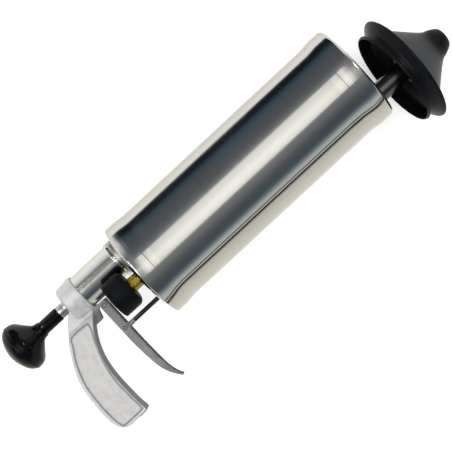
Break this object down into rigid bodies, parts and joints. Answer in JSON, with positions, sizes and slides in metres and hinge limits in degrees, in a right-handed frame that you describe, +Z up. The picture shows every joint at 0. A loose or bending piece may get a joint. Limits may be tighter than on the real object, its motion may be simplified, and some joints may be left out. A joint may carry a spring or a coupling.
{
  "type": "compressed air drain gun",
  "caption": "Hand-pumped compressed-air drain gun with steel air chamber, pistol grip, trigger-opened outlet valve, pressure gauge and rubber sealing cone.",
  "frame": {"origin": "under the middle of the tool as it lies on its side, at the height of the surface it lies on", "axes": "+X forward along the air chamber to the rubber cone, -Y down the grip and trigger, +Z up and out of the tool's right side"},
  "size_m": [0.5119, 0.1536, 0.1125],
  "materials": {
    "polished_stainless": "polished, fine drawn grain round the chamber",
    "chrome": "bright plated",
    "zinc_steel": "satin zinc plate",
    "blackened_steel": "black oxide, slightly worn",
    "spring_steel": "bare spring wire",
    "cast_aluminium": "sand cast, edges linished",
    "lever_aluminium": "sand cast, dull",
    "brass": "machined, lightly tarnished",
    "black_rubber": "moulded, satin",
    "black_gloss_plastic": "moulded, glossy",
    "boot_rubber": "moulded, matte",
    "dial_paint": "printed white dial",
    "needle_paint": "black enamel",
    "clear_lens": "clear"
  },
  "bodies": {
    "chamber": {"chamber_shell": "polished_stainless", "front_cap": "polished_stainless", "rear_cap": "polished_stainless", "pump_barrel": "chrome", "barrel_ring": "chrome", "barrel_washer": "blackened_steel", "barrel_gasket": "black_rubber", "barrel_locknut": "zinc_steel", "check_valve_seat": "zinc_steel", "check_valve_cage": "zinc_steel", "check_valve_spring": "spring_steel", "pump_gland": "zinc_steel", "rod_bumper": "black_rubber", "handle_casting": "cast_aluminium", "collar_set_screw": "blackened_steel", "trigger_pivot_pin": "zinc_steel", "rod_gland": "zinc_steel", "gland_seal": "black_rubber", "gland_locknut": "zinc_steel", "valve_spring": "spring_steel", "outlet_tube": "chrome", "outlet_outer_nut": "zinc_steel", "outlet_gasket": "black_rubber", "outlet_inner_nut": "zinc_steel", "rubber_cone": "black_rubber", "gauge_boot": "boot_rubber", "gauge_case": "blackened_steel", "gauge_bezel": "chrome", "gauge_lens": "clear_lens", "gauge_dial": "dial_paint", "gauge_fitting": "brass", "gauge_locknut": "brass", "bourdon_tube": "brass"},
    "plunger": {"pump_rod": "chrome", "knob_sleeve": "black_gloss_plastic", "pump_knob": "black_gloss_plastic", "piston_back_washer": "zinc_steel", "piston_cup": "black_rubber", "piston_front_washer": "zinc_steel", "piston_nut": "zinc_steel"},
    "trigger": {"trigger_lever": "lever_aluminium", "link_pin": "zinc_steel"},
    "outlet_valve": {"rod_clevis": "zinc_steel", "valve_rod": "blackened_steel", "spring_collar": "zinc_steel", "valve_head": "zinc_steel", "valve_seal": "black_rubber", "valve_nut": "zinc_steel"},
    "needle": {"gauge_needle": "needle_paint"},
    "check_disc": {"check_valve_disc": "black_rubber"}
  },
  "joints": [
    {"name": "pump_stroke", "type": "slide", "parent": "chamber", "child": "plunger", "axis": [-1, 0, 0], "range_m": [0, 0.2]},
    {"name": "trigger_pull", "type": "hinge", "parent": "chamber", "child": "trigger", "pos_m": [-0.1547, 0.0246, 0.05625], "axis": [0, 0, -1], "range_deg": [0, 13], "stiffness_Nm_per_rad": 1.6, "springref_deg": -8.59},
    {"name": "valve_pull", "type": "slide", "parent": "chamber", "child": "outlet_valve", "axis": [-1, 0, 0], "range_m": [0, 0.007], "deforming": ["valve_spring"]},
    {"name": "gauge_reading", "type": "hinge", "parent": "chamber", "child": "needle", "pos_m": [-0.1433, 0.0206, 0.08315], "axis": [1, 0, 0], "range_deg": [0, 270], "stiffness_Nm_per_rad": 0.002},
    {"name": "check_valve_lift", "type": "slide", "parent": "chamber", "child": "check_disc", "axis": [1, 0, 0], "range_m": [0, 0.002], "stiffness_N_per_m": 40, "springref_m": -0.001, "deforming": ["check_valve_spring"]}
  ],
  "couplings": [
    {"joint": "valve_pull", "follows": "trigger_pull", "m_per_rad": 0.0295}
  ]
}
